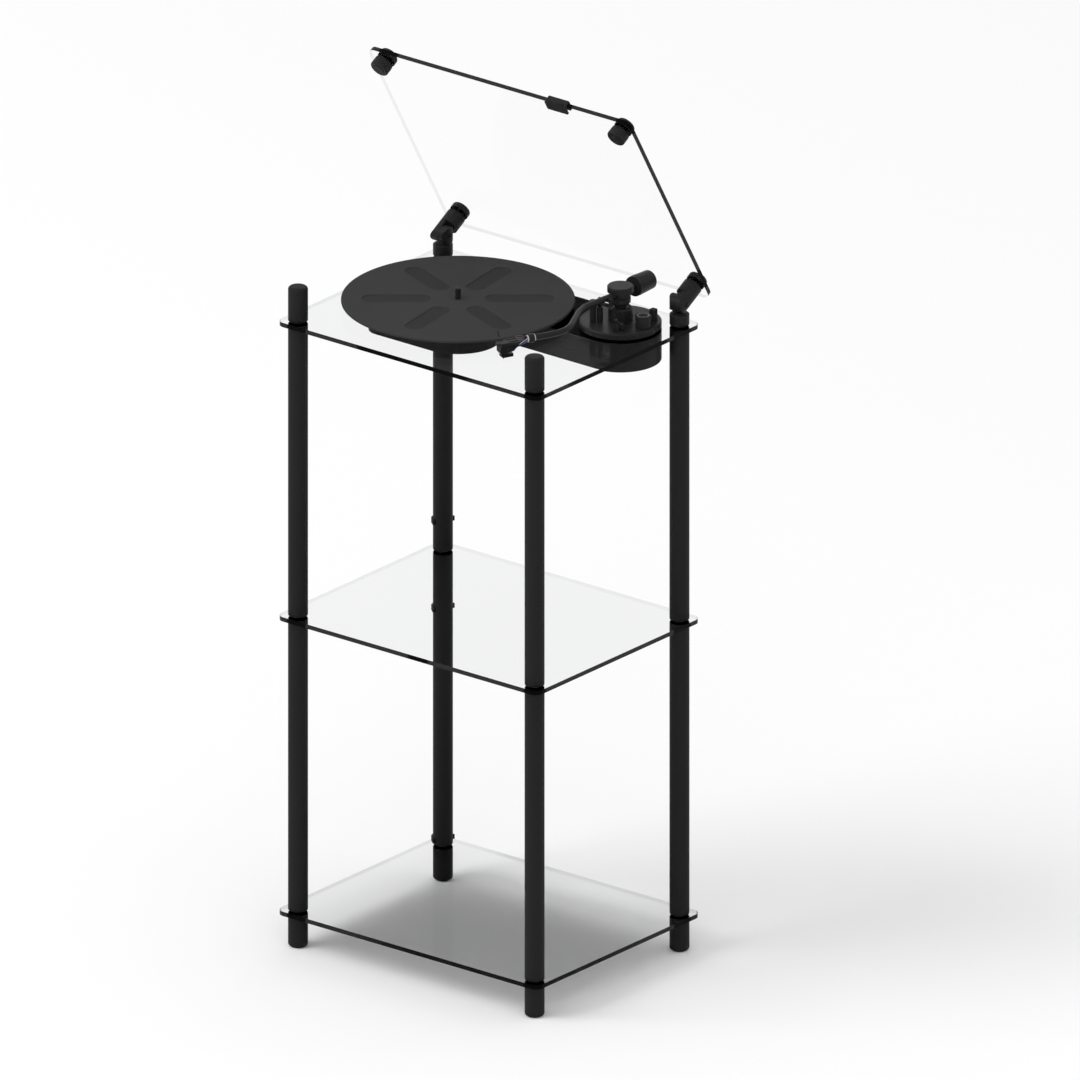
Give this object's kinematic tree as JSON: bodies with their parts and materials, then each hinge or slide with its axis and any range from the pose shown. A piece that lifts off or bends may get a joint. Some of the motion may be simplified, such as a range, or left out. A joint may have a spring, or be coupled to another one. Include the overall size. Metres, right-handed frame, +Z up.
{
  "type": "record player stand",
  "caption": "Record player stand with glass shelves on round black posts, a turntable hung under the top shelf, an S-shaped tonearm and a hinged glass lid.",
  "frame": {"origin": "middle of the object's box, on the floor", "axes": "+X to the right seen from the front, +Y to the back (hinge side), +Z up"},
  "size_m": [0.424, 0.3576, 1.1704],
  "materials": {
    "black_metal": "satin black powder coat",
    "rubber": "matt",
    "black_plastic": "matt",
    "steel": "turned",
    "clear_glass": "polished, clear",
    "plinth_finish": "satin black",
    "brass": "plated",
    "copper": "wound wire",
    "board": "circuit board",
    "arm_black": "satin black",
    "aluminium": "black anodised",
    "mat_rubber": "matt",
    "magnet": "ferrite",
    "chrome_trim": "bright",
    "cartridge_blue": "gloss",
    "stylus_blue": "gloss"
  },
  "bodies": {
    "stand": {"post_feet": "black_metal", "foot_pads": "rubber", "lower_posts": "black_metal", "upper_posts": "black_metal", "front_post_tops": "black_metal", "shelf_washers": "rubber", "post_studs": "steel", "bottom_shelf": "clear_glass", "middle_shelf": "clear_glass", "top_shelf": "clear_glass", "cable_clips": "black_plastic", "hinge_bases": "black_metal", "hinge_bolts": "black_metal", "plinth_shell": "plinth_finish", "plinth_cover": "plinth_finish", "cover_screws": "steel", "power_inlet": "black_plastic", "signal_sockets": "brass", "bearing_sleeve": "steel", "clamp_nuts": "steel", "thrust_pad": "black_plastic", "motor_coils": "copper", "control_board": "board", "tonearm_base": "arm_black", "tonearm_pillar": "arm_black", "arm_rest": "black_plastic", "skate_block": "black_plastic", "lift_post": "arm_black", "cue_bearing": "arm_black"},
    "lid": {"hinge_arms": "black_metal", "lid_glass": "clear_glass", "lid_caps": "black_metal", "lid_washers": "rubber", "lid_studs": "steel", "lid_knobs": "black_metal", "lid_buffers": "rubber", "lid_grip": "black_plastic"},
    "turntable": {"platter": "aluminium", "platter_mat": "mat_rubber", "spindle_shaft": "steel", "rotor_magnet": "magnet", "motor_rotor": "steel"},
    "swivel": {"arm_yoke": "arm_black", "yoke_shaft": "steel"},
    "tonearm": {"pivot_cap": "arm_black", "pivot_pin": "steel", "arm_stub": "arm_black", "arm_tube": "arm_black", "headshell": "arm_black", "finger_lift": "arm_black", "cartridge": "cartridge_blue", "stylus": "stylus_blue"},
    "shell_lock": {"locking_collar": "chrome_trim"},
    "balance_weight": {"counterweight": "arm_black"},
    "force_dial": {"force_ring": "arm_black"},
    "skate_dial": {"skate_knob": "arm_black"},
    "button": {"start_button": "black_plastic"},
    "cue": {"cue_lever": "arm_black"},
    "cue_lift": {"lift_bar": "rubber"}
  },
  "joints": [
    {"name": "lid_hinge", "type": "hinge", "parent": "stand", "child": "lid", "pos_m": [0, 0.13265, 0.878], "axis": [-1, 0, 0], "range_deg": [-60, 25]},
    {"name": "platter_spin", "type": "hinge", "parent": "stand", "child": "turntable", "pos_m": [-0.062, 0.00165, 0.853], "axis": [0, 0, -1], "continuous": true},
    {"name": "tonearm_swing", "type": "hinge", "parent": "stand", "child": "swivel", "pos_m": [0.137, 0.08195, 0.88], "axis": [0, 0, -1], "range_deg": [0, 52]},
    {"name": "tonearm_tip", "type": "hinge", "parent": "swivel", "child": "tonearm", "pos_m": [0.137, 0.08195, 0.8946], "axis": [-1, 0, 0], "range_deg": [-2.25, 0]},
    {"name": "collar_turn", "type": "hinge", "parent": "tonearm", "child": "shell_lock", "pos_m": [0.15, -0.10605, 0.8946], "axis": [-0.4122, -0.9111, 0], "range_deg": [0, 90]},
    {"name": "weight_turn", "type": "hinge", "parent": "tonearm", "child": "balance_weight", "pos_m": [0.137, 0.12595, 0.8946], "axis": [0, 1, 0], "continuous": true},
    {"name": "force_ring_turn", "type": "hinge", "parent": "tonearm", "child": "force_dial", "pos_m": [0.137, 0.10995, 0.8946], "axis": [0, 1, 0], "continuous": true},
    {"name": "skate_turn", "type": "hinge", "parent": "stand", "child": "skate_dial", "pos_m": [0.1757, 0.07985, 0.866], "axis": [0, 0, -1], "range_deg": [0, 270]},
    {"name": "button_press", "type": "slide", "parent": "stand", "child": "button", "axis": [0, 0, -1], "range_m": [0, 0.0008], "stiffness_N_per_m": 400},
    {"name": "cue_turn", "type": "hinge", "parent": "stand", "child": "cue", "pos_m": [0.158, 0.05195, 0.8629], "axis": [-1, 0, 0], "range_deg": [-45, 0]},
    {"name": "cue_lift_slide", "type": "slide", "parent": "stand", "child": "cue_lift", "axis": [0, 0, 1], "range_m": [-0.003, 0]}
  ],
  "couplings": [
    {"joint": "cue_lift_slide", "follows": "cue_turn", "m_per_rad": 0.0038197},
    {"joint": "tonearm_tip", "follows": "cue_turn", "ratio": 0.05}
  ]
}
